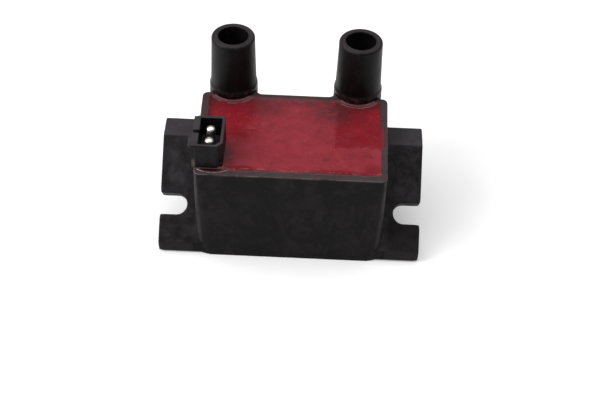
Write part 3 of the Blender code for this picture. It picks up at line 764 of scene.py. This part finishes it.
def softened(node, name, voxel, passes, keep, shape):
    """A copy of a CAD node with moulded, rounded edges, thinned where it is flat.

    shape moves the fine mesh's points and returns their new places, with how much more each one is softened.
    """
    obj = new_object(name + "_source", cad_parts[node].data.copy())
    remesh = obj.modifiers.new("remesh", "REMESH")
    remesh.mode = "VOXEL"
    remesh.voxel_size = voxel
    mesh = evaluated_copy(obj, name + "_fine")
    points = np.empty(len(mesh.vertices) * 3, np.float32)
    mesh.vertices.foreach_get("co", points)
    points, softness = shape(points.reshape(-1, 3))
    mesh.vertices.foreach_set("co", points.reshape(-1))
    obj = new_object(name + "_fine", mesh)
    soft = obj.vertex_groups.new(name="soft")
    level_step = 0.25
    for level in (0.25, 0.5, 0.75, 1.0):
        chosen = np.flatnonzero(np.abs(softness - level) <= level_step / 2)
        soft.add([int(index) for index in chosen], level, "REPLACE")
    add_smoothing(obj, "smooth", passes)
    add_smoothing(obj, "more", 4 * passes).vertex_group = "soft"
    thin = obj.modifiers.new("thin", "DECIMATE")
    thin.ratio = keep
    mesh = evaluated_copy(obj, name)
    mesh.materials.clear()
    mesh.shade_smooth()
    return new_object(name, mesh)


def ramped(low, high, values):
    """A smooth step from 0 at low to 1 at high, over an array."""
    t = np.clip((values - low) / (high - low), 0, 1)
    return t * t * (3 - 2 * t)


def smoothstep(low, high, value):
    """A smooth step from 0 at low to 1 at high, for one number."""
    t = min(1.0, max(0.0, (value - low) / (high - low)))
    return t * t * (3 - 2 * t)


def turned(name, profile, centre, steps):
    """A smooth solid of revolution; profile is a closed loop of (radius, height)."""
    form = bmesh.new()
    points = [form.verts.new((radius, 0, height)) for radius, height in profile]
    for first, second in zip(points, points[1:] + points[:1]):
        form.edges.new((first, second))
    mesh = bpy.data.meshes.new(name)
    form.to_mesh(mesh)
    form.free()
    obj = new_object(name + "_source", mesh)
    obj.location = (centre.x, centre.y, 0)
    screw = obj.modifiers.new("turn", "SCREW")
    screw.steps = screw.render_steps = steps
    screw.use_merge_vertices = True
    screw.merge_threshold = 1e-6
    bpy.context.view_layer.update()
    mesh = evaluated_copy(obj, name)
    mesh.transform(Matrix.Translation((centre.x, centre.y, 0)))
    mesh.shade_smooth()
    return new_object(name, mesh)


def arc(middle_radius, middle_height, radius, start, end, steps):
    """Points on an arc, in degrees from +radius towards +height."""
    angles = [math.radians(start + (end - start) * step / steps) for step in range(steps + 1)]
    return [(middle_radius + radius * math.cos(a), middle_height + radius * math.sin(a)) for a in angles]


def finish_piece(obj, surface, slot, *nodes):
    """Gives the piece its material and the body it rides on, and hides the CAD nodes it stands for. slot is
    not used.
    """
    obj.data.materials.clear()
    obj.data.materials.append(surface.material)
    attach(obj, "root")
    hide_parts(*nodes)


# ---------------------------------------------------------------- case, towers, connector and pins
def shape_case(points):
    """The ejector mark on the right wing, and rounder outer corners on the lips and the slots' mouths."""
    x, y, z = points.T
    y_from, z_from = y - WING_FOOT.y, z - WING_FOOT.z
    up_slope = y_from * math.cos(WING_ANGLE) + z_from * math.sin(WING_ANGLE)
    above = z_from * math.cos(WING_ANGLE) - y_from * math.sin(WING_ANGLE)
    ring = np.hypot(x - MARK_ACROSS, up_slope - MARK_UP_SLOPE) - MARK_RADIUS
    raised = MARK_HEIGHT * np.exp(-((ring / MARK_WIDTH) ** 2)) * (np.abs(above) < MARK_REACH)
    moved = points.copy()
    moved[:, 1] -= raised * math.sin(WING_ANGLE)
    moved[:, 2] += raised * math.cos(WING_ANGLE)
    outer = ramped(CASE_HIGH.x - 2.4 * MM, CASE_HIGH.x - 0.7 * MM, np.abs(x))
    low = ramped(3.4 * MM, 1.8 * MM, z)
    mouth = ramped(6.6 * MM, 5.4 * MM, np.abs(up_slope - SLOT_UP_SLOPE)) * (above > SLOT_DEEPEST)
    return moved, outer * np.maximum(low, mouth)


def build_case(plastic):
    case = softened("case", "case_shell", CASE_VOXEL, passes=5, keep=0.30, shape=shape_case)
    finish_piece(case, plastic, "black_plastic", "case")


def build_tower(side, plastic):
    """A tower with a rounded lip, a slight flare, a rolled collar and a spigot down into the lobe."""
    low, high = TOWER_BOXES[side]
    top, seat = high.z, RIM_Z + FRAME_GAP / 2
    profile = [(STEM_HOLE, low.z), (STEM_HOLE, BORE_FLOOR), (BORE_FLOOR_RADIUS, BORE_FLOOR)]
    profile += arc(BORE_RADIUS + BORE_LIP, top - BORE_LIP, BORE_LIP, start=180, end=90, steps=6)
    profile += arc(TOWER_RIM_RADIUS - TOWER_LIP, top - TOWER_LIP, TOWER_LIP, start=90, end=4, steps=10)
    flare_top, flare_bottom = top - TOWER_LIP, seat + COLLAR_HEIGHT + 0.6 * MM
    flare_curve = 1.2
    steps = 8
    for step in range(1, steps + 1):
        t = step / steps
        radius = TOWER_RIM_RADIUS + (TOWER_BASE_RADIUS - TOWER_RIM_RADIUS) * t**flare_curve
        profile.append((radius, flare_top + (flare_bottom - flare_top) * t))
    collar_top = seat + COLLAR_HEIGHT - COLLAR_SLOPE
    for step in range(1, steps + 1):
        swell = (1 - math.cos(math.pi * step / steps)) / 2
        radius = TOWER_BASE_RADIUS + (COLLAR_RADIUS - TOWER_BASE_RADIUS) * swell
        profile.append((radius, flare_bottom + (collar_top - flare_bottom) * step / steps))
    profile += [(COLLAR_RADIUS, seat), (SPIGOT_RADIUS, seat), (SPIGOT_RADIUS, low.z)]
    tower = turned(f"tower_{side}", profile, TOWER_CENTRES[side], steps=96)
    finish_piece(tower, plastic, "black_plastic", f"hv_tower_{side}")


def shape_socket(points):
    """A faint step below the rim on the outer faces, and a rounder front corner on the side ledge."""
    x, y, z = points.T
    moved = points.copy()
    below = ramped(SOCKET_STEP_TOP, SOCKET_STEP_FOOT, z) * (z > RIM_Z)
    moved[:, 1] += SOCKET_STEP * below * (y < SOCKET_FRONT + SOCKET_SKIN)
    moved[:, 0] -= SOCKET_STEP * below * (x > SOCKET_RIGHT - SOCKET_SKIN)
    corner_x, corner_y = x - SOCKET_LOW.x - LEDGE_CORNER, y - SOCKET_FRONT - LEDGE_CORNER
    reach = np.hypot(corner_x, corner_y)
    cut = (corner_x < 0) & (corner_y < 0) & (reach > LEDGE_CORNER)
    pull = LEDGE_CORNER / np.where(cut, reach, LEDGE_CORNER)
    moved[:, 0] = np.where(cut, x - corner_x * (1 - pull), moved[:, 0])
    moved[:, 1] = np.where(cut, y - corner_y * (1 - pull), moved[:, 1])
    ledge = ramped(SOCKET_LOW.x + 1.6 * MM, SOCKET_LOW.x + 0.4 * MM, x)
    return moved, ledge * ramped(SOCKET_FRONT + 1.6 * MM, SOCKET_FRONT + 0.5 * MM, y)


def build_connector(plastic):
    housing = softened(
        "connector_housing", "connector_shell", SOCKET_VOXEL, passes=3, keep=0.35, shape=shape_socket
    )
    finish_piece(housing, plastic, "black_plastic", "connector_housing")


def build_pin(end, metal):
    """A round-headed pin: a dome on a straight shank, a shoulder and a thin tail."""
    low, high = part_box(f"connector_pin_{end}")
    radius = (high.x - low.x) / 2
    steps = 14
    dome = [
        (max(PIN_AXIS_HOLE, radius * math.sin(a)), high.z - radius * PIN_DOME * (1 - math.cos(a)))
        for a in [math.pi / 2 * step / steps for step in range(steps + 1)]
    ]
    shank = [(radius, PIN_SHOULDER), (PIN_TAIL_RADIUS, PIN_SHOULDER)]
    tail = [(PIN_TAIL_RADIUS, low.z), (PIN_AXIS_HOLE, low.z)]
    pin = turned(f"pin_{end}", dome + shank + tail, (low + high) / 2, steps=48)
    finish_piece(pin, metal, "tinned_pin", f"connector_pin_{end}")


# ---------------------------------------------------------------- resin
def outside_cavity(x, y):
    """Distance in plan from the cavity's rounded outline: negative inside, positive over the rim."""
    middle = (CAVITY_LOW + CAVITY_HIGH) / 2
    half = (CAVITY_HIGH - CAVITY_LOW) / 2
    dx = abs(x - middle.x) - half.x + CAVITY_CORNER
    dy = abs(y - middle.y) - half.y + CAVITY_CORNER
    return math.hypot(max(dx, 0), max(dy, 0)) + min(max(dx, dy), 0) - CAVITY_CORNER


def from_socket(x, y):
    """Distance in plan from the connector's outline."""
    return math.hypot(max(x - SOCKET_RIGHT, 0), max(y - SOCKET_BACK, 0, SOCKET_FRONT - y))


def rolling(x, y, width, depth, layer):
    """Smooth noise from about -1 to 1 over the plan, its features about width by depth; layer picks one."""
    return noise.noise(Vector((x / width, y / depth, layer)))


def spill(x, y):
    """How far the resin has run out over the rim near this place."""
    along = rolling(x, y, 9 * MM, 9 * MM, layer=3.1)
    ripple = rolling(x, y, 2.6 * MM, 2.6 * MM, layer=7.7)
    reach = (0.35 + 0.55 * along + 0.30 * ripple) * MM
    if x > CAVITY_HIGH.x - 1 * MM and PATCH_FRONT < y < PATCH_BACK:
        reach = PATCH_REACH
    return max(reach, 0.0)


def film_height(x, y):
    """The height of the rounded bead of film on the front rim, or None outside its arc."""
    inside = FILM_ARC - math.hypot(x - FILM_CENTRE.x, y - FILM_CENTRE.y)
    short = 1 - min(1.0, max(0.0, inside / FILM_ROUNDING))
    if short < 1:
        return RIM_Z - FILM_ROOT + (FILM_HEIGHT + FILM_ROOT) * math.sqrt(1 - short**2)
    return None


def resin_height(x, y):
    """The resin's free surface: level in the middle, drawn up at walls, towers and connector."""
    outside = outside_cavity(x, y)
    swell = 0.10 * MM * rolling(x, y, 14 * MM, 11 * MM, layer=0.4)
    swell += 0.045 * MM * rolling(x, y, 4 * MM, 4 * MM, layer=2.0)
    if outside < 0:
        height = RESIN_LEVEL + swell + (RESIN_EDGE - RESIN_LEVEL) * math.exp(outside / WALL_FADE)
    else:
        reach = spill(x, y)
        fall = smoothstep(reach - 0.15 * MM, reach + 0.35 * MM, outside)
        height = RESIN_EDGE - (RESIN_EDGE - RIM_Z + BELOW_RIM) * fall
    for centre in TOWER_CENTRES.values():
        gap = math.hypot(x - centre.x, y - centre.y) - COLLAR_RADIUS
        rise = COLLAR_RISE * math.exp(-max(gap, 0) / COLLAR_FADE)
        height += rise * smoothstep(1.0 * MM, -0.6 * MM, outside)
    if y > SOCKET_FRONT + FRAME_GAP:
        rise = SOCKET_RISE * math.exp(-from_socket(x, y) / SOCKET_FADE)
        height += rise * smoothstep(2.6 * MM, 1.9 * MM, outside)
    else:
        film = film_height(x, y)
        if film is not None:
            height = max(height, film)
    return height


def on_rim(x, y, inset):
    """The place pulled in to the case's rounded corner, less an inset, where it lies beyond it."""
    half_x = CASE_RIM_HALF - inset
    low_y, high_y = CASE_LOW.y + inset, CAVITY_HIGH.y + CAVITY_BACK_WALL - inset
    corner = CASE_CORNER - inset
    middle_y, half_y = (low_y + high_y) / 2, (high_y - low_y) / 2
    dx, dy = abs(x) - half_x + corner, abs(y - middle_y) - half_y + corner
    reach = math.hypot(dx, dy)
    if dx > 0 and dy > 0 and reach > corner:
        x = math.copysign(half_x - corner + dx * corner / reach, x)
        y = middle_y + math.copysign(half_y - corner + dy * corner / reach, y - middle_y)
    return x, y


def surface_grid(form):
    """Rows of the resin's top points over the cavity and the rim round it."""
    low_x, high_x = CAVITY_LOW.x - SHEET_REACH, CAVITY_HIGH.x + SHEET_REACH
    low_y, high_y = CAVITY_LOW.y - SHEET_FRONT_REACH, CAVITY_HIGH.y + SHEET_REACH
    columns = round((high_x - low_x) / SHEET_STEP)
    rows = round((high_y - low_y) / SHEET_STEP)
    grid = []
    for j in range(rows + 1):
        across = []
        for i in range(columns + 1):
            x = low_x + (high_x - low_x) * i / columns
            y = low_y + (high_y - low_y) * j / rows
            x, y = on_rim(x, y, SHEET_INSET)
            across.append(form.verts.new((x, y, resin_height(x, y))))
        grid.append(across)
    return grid


def build_resin(surface):
    """A closed sheet whose top follows resin_height and whose underside is level."""
    form = bmesh.new()
    grid = surface_grid(form)
    for front, behind in zip(grid, grid[1:]):
        for i in range(len(front) - 1):
            form.faces.new((front[i], front[i + 1], behind[i + 1], behind[i]))
    rim = [e for e in form.edges if e.is_boundary]
    walls = bmesh.ops.extrude_edge_only(form, edges=rim)["geom"]
    for vert in walls:
        if isinstance(vert, bmesh.types.BMVert):
            vert.co.z = RIM_Z - SHEET_DEPTH
    loop = [e for e in form.edges if e.is_boundary]
    bmesh.ops.contextual_create(form, geom=loop)
    bmesh.ops.recalc_face_normals(form, faces=form.faces)
    mesh = bpy.data.meshes.new("resin_fill")
    form.to_mesh(mesh)
    form.free()
    mesh.shade_smooth()
    finish_piece(new_object("resin_fill", mesh), surface, "red_resin", "potting_resin")


# ---------------------------------------------------------------- inner nodes
def dress_inner_nodes():
    """Finishes for the CAD nodes that stay as they are, inside the resin; keys start the nodes' names."""
    brass = plain_metal("turned_brass", (0.72, 0.53, 0.26), (0.5184, 0.3816, 0.1872), 0.28, turning=0.10)
    steel = layered("laminations", (0.36, 0.37, 0.39), (0.08, 0.08, 0.09), "Z", 0.5 * MM, 0.35)
    bobbin = cast_plastic("bobbin_nylon", (0.78, 0.72, 0.58), 0.45)
    primary = layered("primary_turns", (0.62, 0.25, 0.10), (0.20, 0.06, 0.02), "X", 0.6 * MM, 0.28)
    secondary = layered("secondary_turns", (0.66, 0.30, 0.13), (0.28, 0.10, 0.04), "X", 0.15 * MM, 0.32)
    film = cast_plastic("amber_film", (0.66, 0.42, 0.14), 0.25)
    board = cast_plastic("pressed_board", (0.30, 0.22, 0.14), 0.7)
    sleeve = cast_plastic("lead_sleeve", (0.58, 0.52, 0.42), 0.5)
    finishes = {
        "hv_terminal": brass,
        "primary_tag": brass,
        "core": steel,
        "air_gap_spacer": board,
        "primary_bobbin": bobbin,
        "secondary_bobbin": bobbin,
        "primary_winding": primary,
        "secondary_winding": secondary,
        "insulation_sleeve": film,
        "primary_lead": sleeve,
        "ht_lead": sleeve,
    }
    for name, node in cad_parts.items():
        for start, surface in finishes.items():
            if name.startswith(start):
                node.data.materials.clear()
                node.data.materials.append(surface.material)


build_camera()
build_lights()
build_floor()
# The case's layers include painted sheen on its corners, painted shadow low on the right wing and painted
# light on the lips.
case_plastic = black_plastic(
    "case_plastic",
    base=0.0034,
    level=0.048,
    slant=0.031,
    roughness=0.55,
    gloss=0.09,
    stains_and_light=(painted_corner_sheen, rim_stain, clamp_print, painted_wing_foot_shadow, painted_lip_light),
)
tower_plastic = black_plastic(
    "tower_plastic", base=0.0022, level=0.032, slant=0.018, roughness=0.45, gloss=0.12, stains_and_light=(crept_resin,)
)
socket_plastic = black_plastic(
    "socket_plastic", base=0.0036, level=0.044, slant=0.020, roughness=0.50, gloss=0.12, stains_and_light=(dried_drip,)
)
build_case(case_plastic)
build_connector(socket_plastic)
for tower_side in SIDES:
    build_tower(tower_side, tower_plastic)
tin = plain_metal("tinned_pin", (0.93, 0.90, 0.87), (0.70, 0.64, 0.58), 0.34, turning=0.05)
for pin_end in ("front", "rear"):
    build_pin(pin_end, tin)
build_resin(red_resin())
dress_inner_nodes()
